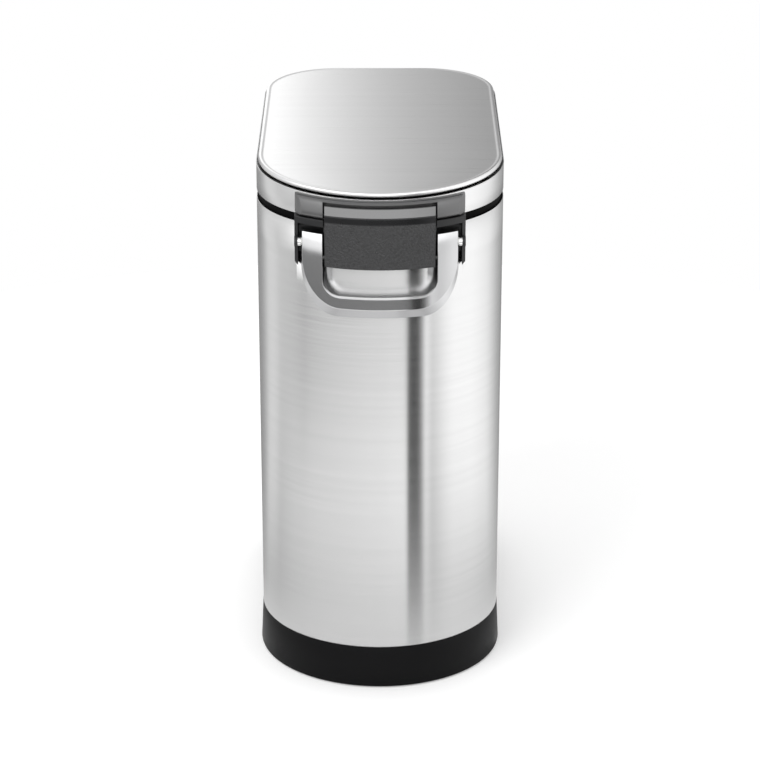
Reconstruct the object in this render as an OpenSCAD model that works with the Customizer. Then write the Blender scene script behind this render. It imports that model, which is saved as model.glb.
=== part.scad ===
// Tall storage bin with a round front, a hinged sloping lid and a bail-handle latch.
// Millimetres. +Z is up, the round front faces -Y and +X is to the right.

/* [Body] */
// Width of the steel wall, side to side
body_w = 260; // [240:1:285]
// Depth of the steel wall, front to back
body_d = 438; // [400:1:480]
// Height of the steel wall that shows above the base
shell_h = 468; // [440:1:560]
// Thickness of the steel wall
shell_t = 0.8; // [0.6:0.1:1.2]
// Corner radius of the wall at the back
back_r = 80; // [65:1:90]

/* [Base] */
// Height of the black base ring
base_h = 47.5; // [40:0.5:60]
// How far the base ring spreads at the floor
base_flare = 2.4; // [1:0.1:5]
// Wall thickness of the base ring
base_t = 3; // [2.4:0.1:4]
// Thickness of the bottom plate
bottom_t = 2; // [1.5:0.1:3]
// Radius of a rubber foot
foot_r = 11; // [8:0.5:14]
// Height of a rubber foot
foot_h = 4; // [3:0.1:5]

/* [Rim and bucket] */
// Height of the black rim between wall and lid
rim_h = 8; // [6:0.5:11]
// How far the rim stands back from the wall's face
rim_inset = 2.5; // [1.5:0.1:4]
// Width of the flat sealing face on the rim
seal_w = 6.5; // [5:0.1:9]
// Gap from the wall's face to the bucket's side
bucket_gap = 18; // [17:0.5:24]
// Wall thickness of the bucket
bucket_t = 2; // [1.6:0.1:3]
// Height of the bucket's underside above the floor
bucket_z = 60; // [52:1:90]

/* [Lid] */
// Height of the lid's side band at the front
band_h = 23; // [20:0.5:34]
// How much higher the lid is at the back than at the front
lid_rise = 22; // [8:1:34]
// Thickness of the lid's top plate over its rolled edge
plate_h = 5.9; // [4:0.1:8]
// How far the top plate's edge stands back from the band
plate_inset = 1.9; // [1:0.1:3]
// Shadow gap between band and top plate
plate_gap = 1; // [0.5:0.1:2]
// Thickness of the gasket's bead
gasket_w = 4; // [3:0.1:5]

/* [Handle] */
// Half-width over the bail's arms
bail_x = 80.5; // [77:0.5:80.5]
// Width of a bail arm
arm_w = 22; // [18:0.5:24]
// Thickness of the bail, front to back
bail_t = 10; // [8:0.5:11]
// Gap between the wall and the bail's back
bail_gap = 3.5; // [3.2:0.1:5]
// Height of the bail's grip bar
grip_h = 21.8; // [16:0.2:26]
// Drop from the pivot to the top of the grip bar
bail_drop = 53; // [46:1:70]
// How far the arms reach above the pivot
arm_top = 11; // [9:0.5:11]
// Height of the bevel along the bail's outer edge
bevel_h = 10; // [6:0.5:12]
// Depth of that bevel
bevel_d = 5; // [3:0.5:6]
// Corner radius inside the bail
bail_in_r = 17; // [10:1:24]

/* [Latch] */
// Drop from the lid's lower edge to the handle's pivot
pivot_drop = 25; // [24:0.5:28]
// How far the handle's pivot lies behind the wall's front
pivot_back = 16; // [15.5:0.1:17]
// Radius of the handle's stub pins
pin_r = 3; // [2.5:0.1:3.5]
// Drop from the handle's pivot to the latch plate's pins
link_drop = 13; // [10:0.5:14]
// Reach from the handle's pivot forward to the latch plate's pins
link_reach = 12.5; // [11:0.5:13]
// Radius of the latch plate's pins
link_r = 2; // [1.5:0.1:2.5]
// Half-width of the latch plate
latch_x = 56.2; // [53:0.1:56.2]
// Height of the latch plate
latch_h = 63.2; // [58:0.2:64]
// How far the latch plate stands over the lid's lower edge
latch_rise = 16; // [15:0.1:16.4]
// Wall thickness of the latch plate
latch_t = 2.6; // [2:0.1:3]
// How far the latch plate's face stands out from the wall
latch_out = 13; // [12:0.5:14]
// Half-width of the bracket and of the cover over it
bracket_x = 87.2; // [86:0.1:90]
// How far the bracket stands out from the wall
bracket_out = 9; // [8:0.5:10]
// Drop from the handle's pivot to the lower end of the bracket's ears
ear_drop = 28; // [24:0.5:32]
// Thickness of the bracket's walls
bracket_t = 1.5; // [1.2:0.1:2]
// Height of the catch cover on the lid
cover_h = 21.5; // [20:0.5:22]
// Thickness of the steel catch
catch_t = 1.6; // [1:0.1:1.8]

/* [Hinge] */
// Distance of the lid's pin behind the back wall
hinge_out = 7; // [6.5:0.5:10]
// Drop from the lid's lower edge to the pin
hinge_drop = 3; // [2:0.5:6]
// Outer radius of a hinge knuckle
knuckle_r = 5; // [4.5:0.1:5.5]
// Radius of the hinge pin
hinge_r = 2.5; // [2:0.1:3]
// Thickness of the hinge leaves
leaf_t = 2; // [1.5:0.1:2.5]
// Half-width of the hinge
hinge_x = 42; // [30:1:48]

/* [Hidden] */
$fn = 96;
// Clearances: in a hole that grips, round a turning pin, between faces that meet, and in an open hole
grip_c = 0.02;
run_c = 0.05;
sit_c = 0.1;
hole_c = 0.1;
// Clearances: between pieces that stay put, that hang or turn loosely, and beside what moves
fit_c = 0.3;
loose_c = 0.5;
side_c = 1;
// Chamfer on moulded edges
edge_c = 0.8;
// Radius and head of the small screws
screw_r = 1.75;
head_r = 3.4;
head_h = 1.5;
// Nuts, hexagonal
nut_r = 3.6;
nut_h = 3;
// A length larger than the whole part, for cutting
big = 1000;
// How much taller a piece is drawn before a plane cuts it off
spare = 10;
// How far a hole is drawn past the faces that it goes through
past = 1;

// Plan of the body
front_r = body_w / 2;
back_y = body_d - front_r;
corner_x = front_r - back_r;
corner_y = back_y - back_r;

// Heights from the floor up
ring_z = 1;
// Collars on the ring and on the rim that stand inside the wall, and the ring's ledge for the plate
collar_h = 13;
ledge_w = 14;
ledge_t = 3;
// Web of the rim under its sealing face
web_t = 3;
// Insets from the wall's face: of the bottom plate's screws and of the feet
under_in = 9;
foot_in = 30;
// Angle of the front feet round the body's axis, from the side
foot_turn = 48;
plate_z = foot_h;
ledge_z = plate_z + bottom_t;
shell_z = base_h;
shell_top = shell_z + shell_h;
rim_z = shell_top + rim_h;
lid_z = rim_z + loose_c;
flange_z = rim_z - ledge_t - side_c;
band_top = lid_z + band_h;
lid_angle = atan(lid_rise / body_d);
tray_z = lid_z + 2;
// Thickness of the liner, and the walls and depth of its gasket groove
tray_t = 2.4;
groove_t = 2;
groove_d = 3;
// Width of the fold on the band's upper edge, and the top plate's sheet and turned-in lip
fold_w = 5;
plate_t = 1.2;
lip_w = 2;

// Latch places; y is negative towards the front
pivot_y = -front_r + pivot_back;
pivot_z = lid_z - pivot_drop;
link_y = pivot_y - link_reach;
link_z = pivot_z - link_drop;
bail_in = front_r + bail_gap;
bail_out = bail_in + bail_t;
gap_x = bail_x - arm_w;
grip_top = pivot_z - bail_drop;
grip_z = grip_top - grip_h;
latch_r = front_r + latch_out;
latch_top = lid_z + latch_rise;
latch_z = latch_top - latch_h;
bracket_r = front_r + bracket_out;
bracket_z = pivot_z - ear_drop;
// The bracket's screws go down through the rim this far inside the wall's face
screw_in = 5.5;
screw_pitch = 32;
bracket_screw_l = 5;
// Inner radius of the bracket's ledge, which reaches back over the wall's edge
ledge_r = front_r - rim_inset - screw_in;
// Face of the bracket's back plate
face_r = front_r + 2 * sit_c + bracket_t;
// Depth of the latch plate's side flanges behind its face
flange_in = 8;
flange_top = link_z + 26.8;
// Height and depth of the facet along the latch plate's upper edge
facet_h = 10.4;
facet_d = 3.8;
// Drops from the plate's upper edge to the hook's lower end, bend, upper end and nose
hook_low = 28;
hook_bend = 12.2;
hook_top = 5.2;
hook_nose = [7, 9];
hook_t = 1.5;
// The bail's ends turn inside this radius of the pivot, and the pockets clear it
end_r = sqrt(bail_out * bail_out - gap_x * gap_x) + pivot_y + 0.6;
pocket_r = end_r + edge_c;
pocket_y = pivot_y + arm_top + edge_c;
pocket_z = pivot_z - pocket_r - bracket_t;
pocket_in = gap_x - side_c;
strip_z = pivot_z + end_r + fit_c;
// A washer on each stub pin fills the gap between bail and ear
washer_t = 3;
washer_r = 4.8;
ear_x = bail_x + washer_t + fit_c;
// The ears' round bosses, which hold the stub pins, and half the height of the webs behind them
ear_boss_r = pin_r + 2.4;
ear_web = pin_r + 1.4;
boss_r = 7;
boss_w = 10;
link_grip = 3;
bush_t = 1;
// The slant that cuts off the ears' lower ends, and how far the strip stands back behind the plate
ear_cut = 5;
strip_back = 4.5;
catch_r = front_r + catch_t;
cover_z = lid_z + 1.4;
notch_z = latch_top + 1.5;
plate_low = pivot_z - 16.2;
// Half-width of the recess over the latch plate's, height of the steel catch, places of its screws
recess_c = 1.8;
catch_h = 10;
catch_screw_x = 30;
catch_screw_l = 6;
// The cover's lower edge is rounded off, and its ends are cut off on a slant from here
cover_round = 2;
cover_y = -front_r * 0.74;
cover_cut = [21, 49];
// Width and height of the bail's lower corners: of its outline, and of the flat between the bevels
corner_out = [35.5, 51.5];
corner_flat = [40, 50];
// The springs on the latch plate's pins
spring_r = 2.6;
wire_r = 0.4;
spring_turns = 4;
spring_pitch = 1.4;
turn_steps = 12;
spring_x = latch_x - latch_t - spring_turns * spring_pitch - wire_r - fit_c;

// Hinge places
hinge_y = back_y + hinge_out;
hinge_z = lid_z - hinge_drop;
hinge_split = hinge_x * 0.48;
// Heights of the hinge's plates and of the web that joins the knuckles to the lower one
hinge_h = 40;
leaf_h = 34;
web_h = 16;
hinge_low = hinge_z - web_h + 2 * leaf_t - hinge_h;
leaf_z = hinge_z + hinge_r + 2 * fit_c;
hinge_screw_in = 10;
hinge_screw_l = 8;
leaf_screw_l = 5;
leaf_screw_in = 8;
hinge_rows = [8, 26];
leaf_rows = [16, 28];

// The origin lies under the middle of the whole part's box
mid_y = (hinge_y + knuckle_r - bail_out) / 2;

// ---- shared shapes ----

// A profile drawn as [distance outside the wall's face, height], carried along the D-shaped plan
module along_outline() {
  rotate([0, 0, 180]) rotate_extrude(angle = 180) translate([front_r, 0]) children();
  for (side = [0, 1]) mirror([side, 0, 0]) {
    translate([front_r, corner_y, 0]) rotate([90, 0, 0]) linear_extrude(corner_y) children();
    translate([corner_x, corner_y, 0])
      rotate_extrude(angle = 90) translate([back_r, 0]) children();
  }
  translate([corner_x, back_y, 0]) rotate([0, 0, 90])
    translate([0, 2 * corner_x, 0]) rotate([90, 0, 0]) linear_extrude(2 * corner_x) children();
}

// A solid prism on the same plan, "inset" inside the wall's face
module d_prism(inset, z, h) {
  r = front_r - inset;
  translate([0, 0, z]) {
    rotate([0, 0, 180]) rotate_extrude(angle = 180) square([r, h]);
    translate([-r, 0, 0]) cube([2 * r, corner_y, h]);
    translate([-corner_x, corner_y, 0]) cube([2 * corner_x, back_r - inset, h]);
    for (side = [0, 1]) mirror([side, 0, 0]) translate([corner_x, corner_y, 0])
      rotate_extrude(angle = 90) square([back_r - inset, h]);
  }
}

// A profile drawn as [radius, height], turned about the body's axis round the front
module turned() {
  rotate([0, 0, 180]) rotate_extrude(angle = 180) children();
}

// A box in front of the body's axis, "half" wide to each side, from height z up
module front_box(half, z, h) {
  translate([-half, -2 * front_r, z]) cube([2 * half, 2 * front_r, h]);
}

// A D-shaped wall of constant thickness
module d_wall(inset, t, z, h) {
  along_outline() translate([-inset - t, z]) square([t, h]);
}

// Everything under the sloping plane that crosses the front of the body at height z
module under_slope(z) {
  translate([0, -front_r, z]) rotate([lid_angle, 0, 0])
    translate([-big / 2, -big / 2, -big]) cube([big, big * 1.5, big]);
}

// Everything over that plane
module over_slope(z) {
  translate([0, -front_r, z]) rotate([lid_angle, 0, 0])
    translate([-big / 2, -big / 2, 0]) cube([big, big * 1.5, big]);
}

// The slab of the front half between x = a and x = b, both sides mirrored
module side_slabs(a, b) {
  for (side = [0, 1]) mirror([side, 0, 0])
    translate([a, -2 * front_r, 0]) cube([b - a, 2 * front_r, big]);
}

// The same slabs from height z up to z + h
module side_slabs_at(a, b, z, h) {
  for (side = [0, 1]) mirror([side, 0, 0])
    translate([a, -2 * front_r, z]) cube([b - a, 2 * front_r, h]);
}

// A cylinder along X from x = a to x = b, on both sides
module cross_pins(a, b, y, z, r) {
  for (side = [0, 1]) mirror([side, 0, 0])
    translate([a, y, z]) rotate([0, 90, 0]) cylinder(h = b - a, r = r);
}

// A screw whose head rests at the origin and whose shank runs along +Z
module screw(length) {
  translate([0, 0, -head_h]) cylinder(h = head_h, r = head_r);
  cylinder(h = length, r = screw_r);
}

// Places of the bottom plate's screws: two along each side and two at the back
module under_places() {
  for (side = [-1, 1]) {
    for (y = [0, corner_y * 0.9]) translate([side * (front_r - under_in), y, 0]) children();
    translate([side * corner_x * 0.7, back_y - under_in, 0]) children();
  }
}

// ---- body ----

module body_shell() {
  color("silver") difference() {
    d_wall(0, shell_t, shell_z, shell_h);
    // Two notches that take the bracket's pockets
    side_slabs_at(pocket_in - bracket_t - fit_c, ear_x + bracket_t + fit_c, pocket_z - fit_c, big);
    hinge_screw_places() cylinder(h = spare, r = screw_r + hole_c);
  }
}

module base_ring() {
  color([0.06, 0.06, 0.065]) difference() {
    along_outline() polygon([
      [base_flare - edge_c, ring_z], [base_flare, ring_z + edge_c], [0, shell_z],
      [-shell_t - sit_c, shell_z], [-shell_t - sit_c, shell_z + collar_h],
      [-base_t - loose_c, shell_z + collar_h], [-base_t - loose_c, ledge_z + ledge_t],
      [-ledge_w, ledge_z + ledge_t], [-ledge_w, ledge_z], [-base_t, ledge_z], [-base_t, ring_z]
    ]);
    under_places() translate([0, 0, ledge_z - past])
      cylinder(h = ledge_t + 2 * past, r = screw_r + grip_c);
  }
}

module bottom_plate() {
  color("dimgray") difference() {
    d_prism(base_t + fit_c, plate_z, bottom_t);
    under_places() translate([0, 0, plate_z - past])
      cylinder(h = bottom_t + 2 * past, r = screw_r + hole_c);
  }
}

module rubber_feet() {
  color([0.1, 0.1, 0.1]) for (side = [-1, 1]) {
    rotate([0, 0, -side * foot_turn]) translate([side * (front_r - foot_in), 0, 0])
      cylinder(h = foot_h, r = foot_r);
    translate([side * corner_x, corner_y, 0]) rotate([0, 0, side * 45])
      translate([side * (back_r - foot_in), 0, 0]) cylinder(h = foot_h, r = foot_r);
  }
}

module base_screws() {
  color("darkgray") under_places() translate([0, 0, plate_z]) screw(bottom_t + ledge_t);
}

// The rim: a sealing face, a step for the bucket's flange and a collar inside the wall
module top_rim() {
  collar_in = -shell_t - sit_c;
  color([0.05, 0.05, 0.055]) difference() {
    along_outline() polygon([
      [-rim_inset, shell_top], [-rim_inset, rim_z], [-rim_inset - seal_w, rim_z],
      [-rim_inset - seal_w, flange_z], [-bucket_gap + loose_c, flange_z],
      [-bucket_gap + loose_c, flange_z - web_t], [collar_in - web_t, flange_z - web_t],
      [collar_in - web_t, shell_top - collar_h], [collar_in, shell_top - collar_h],
      [collar_in, shell_top]
    ]);
    // Room for the latch bracket's pockets, and for its ledge
    translate([-bracket_x - side_c, -2 * front_r, 0])
      cube([2 * (bracket_x + side_c), 2 * front_r + pocket_y + web_t, flange_z - sit_c]);
    difference() {
      front_box(bracket_x + side_c, 0, flange_z - sit_c);
      cylinder(h = big, r = ledge_r - fit_c);
    }
    for (p = bracket_screw_places()) translate([p[0], p[1], flange_z - past])
      cylinder(h = rim_z - flange_z + 2 * past, r = screw_r + grip_c);
  }
}

module inner_bucket() {
  color("gray") {
    d_wall(bucket_gap, bucket_t, bucket_z, flange_z - bucket_z + bucket_t);
    d_prism(bucket_gap + bucket_t / 2, bucket_z, bucket_t);
    along_outline() translate([-bucket_gap - bucket_t, flange_z])
      square([bucket_gap + bucket_t - rim_inset - seal_w - loose_c, bucket_t]);
  }
}

// ---- latch bracket ----

// Screws run down through the rim's upper bar into the bracket's top strip
function bracket_screw_places() = [
  for (i = [-1.5:1.5]) let (x = i * screw_pitch) [x, -sqrt(pow(front_r - screw_in, 2) - x * x)]
];

module latch_bracket() {
  color([0.08, 0.08, 0.085]) difference() {
    union() {
      bracket_front();
      bracket_pockets();
    }
    // The bail's ends turn in two round pockets
    intersection() {
      cross_pins(pocket_in, ear_x, pivot_y, pivot_z, pocket_r);
      translate([-big / 2, -big + pocket_y, 0]) cube([big, big, big]);
    }
    // Bores for the stub pins
    cross_pins(ear_x - past, bracket_x + past, pivot_y, pivot_z, pin_r + grip_c);
    for (p = bracket_screw_places()) translate([p[0], p[1], shell_top])
      cylinder(h = spare, r = screw_r + grip_c);
  }
}

// Back plate, top strip and ears, all turned about the body's axis
module bracket_front() {
  intersection() {
    turned() polygon([
      [front_r + sit_c, plate_low], [face_r, plate_low], [face_r, strip_z],
      [bracket_r - edge_c, strip_z], [bracket_r, strip_z + edge_c],
      [bracket_r, cover_z - side_c - edge_c], [bracket_r - edge_c, cover_z - side_c],
      [front_r + sit_c, cover_z - side_c]
    ]);
    difference() {
      front_box(bracket_x, 0, big);
      // The strip stands back behind the latch plate
      difference() {
        front_box(pocket_in, strip_z - past, big);
        cylinder(h = big, r = bracket_r - strip_back);
      }
      // Two windows behind the latch plate's springs
      side_slabs_at(spring_x - bracket_t, latch_x - latch_t + side_c, 0, strip_z - past);
    }
  }
  // The ears' lower ends are cut off on a slant
  intersection() {
    turned() translate([front_r + sit_c, bracket_z])
      square([bracket_out, strip_z + side_c - bracket_z]);
    side_slabs(ear_x, bracket_x);
    translate([0, -2 * front_r, 0]) rotate([-90, 0, 0]) linear_extrude(2 * front_r) polygon([
      [-bracket_x, -bracket_z - ear_cut], [-bracket_x + ear_cut, -bracket_z],
      [bracket_x - ear_cut, -bracket_z], [bracket_x, -bracket_z - ear_cut],
      [bracket_x, -big], [-bracket_x, -big]
    ]);
  }
  // Bosses hold the stub pins and run back into the ears
  difference() {
    for (side = [0, 1]) mirror([side, 0, 0]) translate([ear_x, 0, 0])
      rotate([90, 0, 90]) linear_extrude(bracket_x - ear_x) {
        translate([pivot_y, pivot_z]) circle(r = ear_boss_r);
        translate([pivot_y, pivot_z - ear_web]) square([bracket_out, 2 * ear_web]);
      }
    cylinder(h = big, r = front_r + sit_c);
  }
  // A ledge that reaches back over the wall's edge and under the rim's bar
  intersection() {
    turned() translate([ledge_r, shell_top + fit_c])
      square([face_r - ledge_r, flange_z - shell_top - 2 * fit_c]);
    front_box(bracket_x, 0, big);
  }
}

// Boxes behind the ears, closed at the back, that line the wall's two notches
module bracket_pockets() {
  intersection() {
    side_slabs_at(pocket_in - bracket_t, ear_x + bracket_t, pocket_z, flange_z - fit_c - pocket_z);
    translate([-big / 2, -big + pocket_y + bracket_t, 0]) cube([big, big, big]);
    turned() square([face_r, big]);
  }
}

module bracket_screws() {
  color("darkgray") for (p = bracket_screw_places())
    translate([p[0], p[1], flange_z + past]) rotate([180, 0, 0])
      cylinder(h = bracket_screw_l, r = screw_r);
}

module handle_pins() {
  color("gainsboro") {
    cross_pins(bail_x - boss_w + side_c, bracket_x - side_c / 2, pivot_y, pivot_z, pin_r);
    cross_pins(bail_x + fit_c - sit_c, ear_x - sit_c, pivot_y, pivot_z, washer_r);
  }
}

// ---- hinge on the back ----

// Knuckle barrels with their bore, between x = a and x = b, on one side
module knuckle(a, b, bore) {
  translate([a, hinge_y, hinge_z]) rotate([0, 90, 0]) difference() {
    cylinder(h = b - a, r = knuckle_r);
    translate([0, 0, -past]) cylinder(h = b - a + 2 * past, r = bore);
  }
}

// Places of the bracket's screws, their heads' seats turned towards +Y
module hinge_screw_places() {
  for (x = [-1, 1]) for (z = hinge_rows)
    translate([x * (hinge_x - hinge_screw_in), back_y + sit_c + leaf_t, hinge_low + z])
      rotate([90, 0, 0]) children();
}

module hinge_bracket() {
  color("silver") difference() {
    union() {
      for (a = [-hinge_x, hinge_split]) {
        knuckle(a, a + hinge_x - hinge_split, hinge_r + grip_c);
        // The web from the knuckle down to the plate
        translate([a, back_y + sit_c, hinge_z - web_h])
          cube([hinge_x - hinge_split, hinge_out - hinge_r - loose_c, web_h - hinge_r]);
      }
      translate([-hinge_x, back_y + sit_c, hinge_low]) cube([2 * hinge_x, leaf_t, hinge_h]);
    }
    hinge_screw_places() cylinder(h = 2 * spare, r = screw_r + hole_c, center = true);
  }
}

module hinge_pin() {
  color("gainsboro") cross_pins(0, hinge_x + side_c, hinge_y, hinge_z, hinge_r);
}

module hinge_screws() {
  color("darkgray") hinge_screw_places() screw(hinge_screw_l);
}

// Hexagonal nuts on the screws' ends, against the wall's inner face
module hinge_nuts() {
  color("darkgray") difference() {
    hinge_screw_places() translate([0, 0, leaf_t + sit_c + grip_c + shell_t])
      cylinder(h = nut_h, r = nut_r, $fn = 6);
    hinge_screw_places() cylinder(h = 2 * spare, r = screw_r + grip_c);
  }
}

// ---- lid ----

module lid_band() {
  color("silver") difference() {
    lid_band_sheet();
    catch_screw_places() cylinder(h = spare, r = screw_r + run_c);
    leaf_screw_places() cylinder(h = spare, r = screw_r + run_c);
  }
}

module lid_band_sheet() {
  intersection() {
    d_wall(0, shell_t, lid_z, band_h + lid_rise + spare);
    under_slope(band_top);
  }
  // The band's upper edge is folded inwards
  intersection() {
    d_wall(shell_t, fold_w, lid_z, band_h + lid_rise + spare);
    under_slope(band_top);
    over_slope(band_top - shell_t);
  }
}

// The top plate, made flat and then tilted: a sheet with a rolled edge
module lid_plate() {
  roll = plate_h / 2;
  color("silver") translate([0, -front_r, band_top + plate_gap]) rotate([lid_angle, 0, 0])
    translate([0, front_r, 0]) {
      d_prism(plate_inset + roll, plate_h - plate_t, plate_t);
      along_outline() translate([-plate_inset - roll, roll]) circle(r = roll);
      // Its turned-in lip rests on the band's fold
      along_outline() translate([-plate_inset - roll - lip_w, -plate_gap + run_c])
        square([lip_w, roll + plate_gap]);
    }
}

// The liner: a bottom deck with a groove for the gasket, and a wall inside the band
module lid_tray() {
  in = shell_t + 2 * sit_c;
  color([0.12, 0.12, 0.125]) difference() {
    union() {
      difference() {
        d_wall(in, tray_t, lid_z + fit_c, band_h + lid_rise + spare);
        over_slope(band_top - shell_t - fit_c);
      }
      d_prism(in, tray_z, tray_t);
      along_outline() translate([-gasket_in() - gasket_w - groove_t, tray_z])
        square([gasket_w + 2 * groove_t, groove_d + groove_t]);
    }
    along_outline() translate([-gasket_in() - gasket_w - sit_c, tray_z - past])
      square([gasket_w + 2 * sit_c, groove_d + past]);
    // Room round the screws from the catch cover and the hinge leaf
    catch_screw_places() cylinder(h = spare, r = screw_r + run_c);
    leaf_screw_places() cylinder(h = spare, r = screw_r + run_c);
  }
}

// Distance from the wall's face to the gasket, over the rim's sealing face
function gasket_in() = rim_inset + (seal_w - gasket_w) / 2;

module lid_gasket() {
  color([0.2, 0.2, 0.2]) along_outline() translate([-gasket_in() - gasket_w, 0]) polygon([
    [gasket_w * 0.1, rim_z + fit_c], [gasket_w * 0.9, rim_z + fit_c], [gasket_w, tray_z],
    [gasket_w, tray_z + groove_d - sit_c], [0, tray_z + groove_d - sit_c], [0, tray_z]
  ]);
}

// The cover's plan: its ends are cut off on a slant
module cover_plan() {
  linear_extrude(big) polygon([
    [-bracket_x, cover_y], [-bracket_x + cover_cut[0], cover_y - cover_cut[1]],
    [bracket_x - cover_cut[0], cover_y - cover_cut[1]], [bracket_x, cover_y],
    [bracket_x, -front_r / 2], [-bracket_x, -front_r / 2]
  ]);
}

module catch_cover() {
  color([0.1, 0.1, 0.105]) difference() {
    intersection() {
      turned() polygon([
        [front_r + sit_c, cover_z], [bracket_r - cover_round, cover_z],
        [bracket_r, cover_z + cover_round],
        [bracket_r - bracket_out * 0.07, cover_z + cover_h * 0.35],
        [bracket_r - bracket_out * 0.2, cover_z + cover_h * 0.62],
        [bracket_r - bracket_out * 0.49, cover_z + cover_h * 0.86],
        [front_r + bracket_out * 0.16, cover_z + cover_h], [front_r + sit_c, cover_z + cover_h]
      ]);
      cover_plan();
    }
    // The recess for the latch plate
    difference() {
      front_box(latch_x + recess_c, 0, notch_z);
      cylinder(h = big, r = front_r + sit_c);
    }
  }
}

module catch_plate() {
  color("silver") difference() {
    intersection() {
      turned() translate([front_r + sit_c, cover_z + loose_c]) square([catch_t - sit_c, catch_h]);
      front_box(latch_x, 0, big);
    }
    catch_screw_places() cylinder(h = 2 * spare, r = screw_r + run_c, center = true);
  }
}

// Screws through the catch plate into the lid, along Y
module catch_screw_places() {
  for (x = [-catch_screw_x, catch_screw_x])
    translate([x, -sqrt(pow(catch_r, 2) - x * x), cover_z + loose_c + catch_h / 2])
      rotate([-90, 0, 0]) children();
}

module catch_screws() {
  color("darkgray") catch_screw_places() cylinder(h = catch_screw_l, r = screw_r);
}

// The middle knuckle and its leaf, screwed to the band's back
module lid_hinge_leaf() {
  half = hinge_split - loose_c;
  color("silver") difference() {
    union() {
      knuckle(-half, half, hinge_r + run_c);
      translate([-half, back_y + sit_c, leaf_z])
        cube([2 * half, hinge_out - sit_c, knuckle_r - hinge_r + loose_c]);
      translate([-half, back_y + sit_c, leaf_z]) cube([2 * half, leaf_t, leaf_h]);
    }
    leaf_screw_places() cylinder(h = 2 * spare, r = screw_r + hole_c, center = true);
  }
}

module leaf_screw_places() {
  for (x = [-1, 1]) for (z = leaf_rows)
    translate([x * (hinge_split - leaf_screw_in), back_y + sit_c + leaf_t, hinge_z + z])
      rotate([90, 0, 0]) children();
}

module lid_hinge_screws() {
  color("darkgray") leaf_screw_places() screw(leaf_screw_l);
}

// ---- handle ----

// The bail's outline seen from the front: straight sides, round lower corners
module bail_outline(low, corner) {
  left = [
    [-bail_x, pivot_z + arm_top],
    for (a = [0:10:90]) [-bail_x + corner[0] * (1 - cos(a)), low + corner[1] * (1 - sin(a))]
  ];
  polygon(concat(left, [for (i = [len(left) - 1:-1:0]) [-left[i][0], left[i][1]]]));
}

// That outline on the round front, from the body's axis out to radius r
module bail_slice(r, low, corner) {
  intersection() {
    cylinder(h = big, r = r, $fn = 144);
    translate([0, -front_r / 2, 0]) rotate([90, 0, 0]) linear_extrude(big) bail_outline(low, corner);
  }
}

module bail_handle() {
  color("lightgray") difference() {
    intersection() {
      union() {
        hull() {
          bail_slice(bail_out - bevel_d, grip_z, corner_out);
          bail_slice(bail_out, grip_z + bevel_h, corner_flat);
        }
        // Bosses round the pivots
        intersection() {
          cross_pins(bail_x - boss_w, bail_x, pivot_y, pivot_z, boss_r);
          cylinder(h = big, r = bail_out);
        }
      }
      bail_ends();
    }
    // The wall side
    difference() {
      cylinder(h = big, r = bail_in);
      cross_pins(bail_x - boss_w, bail_x, pivot_y, pivot_z, boss_r);
    }
    // The opening for the hand
    rotate([90, 0, 0]) linear_extrude(big) bail_window();
    cross_pins(bail_x - boss_w, bail_x + past, pivot_y, pivot_z, pin_r + bush_t + grip_c);
    cross_pins(gap_x - past, gap_x + link_grip + fit_c, link_y, link_z, link_r + grip_c);
  }
}

// What the bail keeps near its pivots, so that its ends clear the pockets
module bail_ends() {
  translate([-big / 2, -big, -big / 2]) cube([big, big, big / 2 + pivot_z]);
  intersection() {
    translate([-big / 2, pivot_y - big, 0]) cube([big, big, pivot_z + arm_top]);
    translate([-big / 2, pivot_y, pivot_z]) rotate([0, 90, 0]) cylinder(h = big, r = end_r);
  }
  translate([-big / 2, pivot_y, pivot_z]) rotate([0, 90, 0]) cylinder(h = big, r = arm_top);
}

module bail_window() {
  translate([-gap_x, grip_top + bail_in_r]) square([2 * gap_x, big]);
  translate([-gap_x + bail_in_r, grip_top]) square([2 * (gap_x - bail_in_r), bail_in_r]);
  for (side = [-1, 1]) translate([side * (gap_x - bail_in_r), grip_top + bail_in_r])
    circle(r = bail_in_r);
}

module handle_bushes() {
  color("white") difference() {
    cross_pins(bail_x - boss_w, bail_x, pivot_y, pivot_z, pin_r + bush_t);
    cross_pins(bail_x - boss_w - past, bail_x + past, pivot_y, pivot_z, pin_r + run_c);
  }
}

module link_pins() {
  color("gainsboro") cross_pins(spring_x - side_c, gap_x + link_grip, link_y, link_z, link_r);
}

// ---- latch ----

module latch_plate() {
  in = latch_r - latch_t;
  color([0.1, 0.1, 0.105]) difference() {
    union() {
      intersection() {
        turned() polygon([
          [latch_r - flange_in, latch_z], [latch_r - edge_c, latch_z], [latch_r, latch_z + edge_c],
          [latch_r, latch_top - facet_h], [latch_r - facet_d, latch_top - edge_c],
          [latch_r - facet_d - edge_c, latch_top], [latch_r - facet_d - latch_t, latch_top],
          [latch_r - facet_d - latch_t, latch_top - latch_t], [in, latch_top - facet_h - 2 * edge_c],
          [in, latch_z + latch_t], [latch_r - flange_in, latch_z + latch_t]
        ]);
        front_box(latch_x, 0, big);
      }
      // Side flanges that carry the pins
      intersection() {
        turned() polygon([
          [latch_r - flange_in, latch_z], [latch_r - side_c, latch_z],
          [latch_r - side_c, latch_top - facet_h - edge_c],
          [latch_r - flange_in + 2, latch_top - facet_h - edge_c],
          [latch_r - flange_in + 2, flange_top + 2], [latch_r - flange_in, flange_top]
        ]);
        side_slabs(latch_x - latch_t, latch_x);
      }
    }
    cross_pins(latch_x - latch_t - past, latch_x + past, link_y, link_z, link_r + run_c);
  }
}

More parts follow.
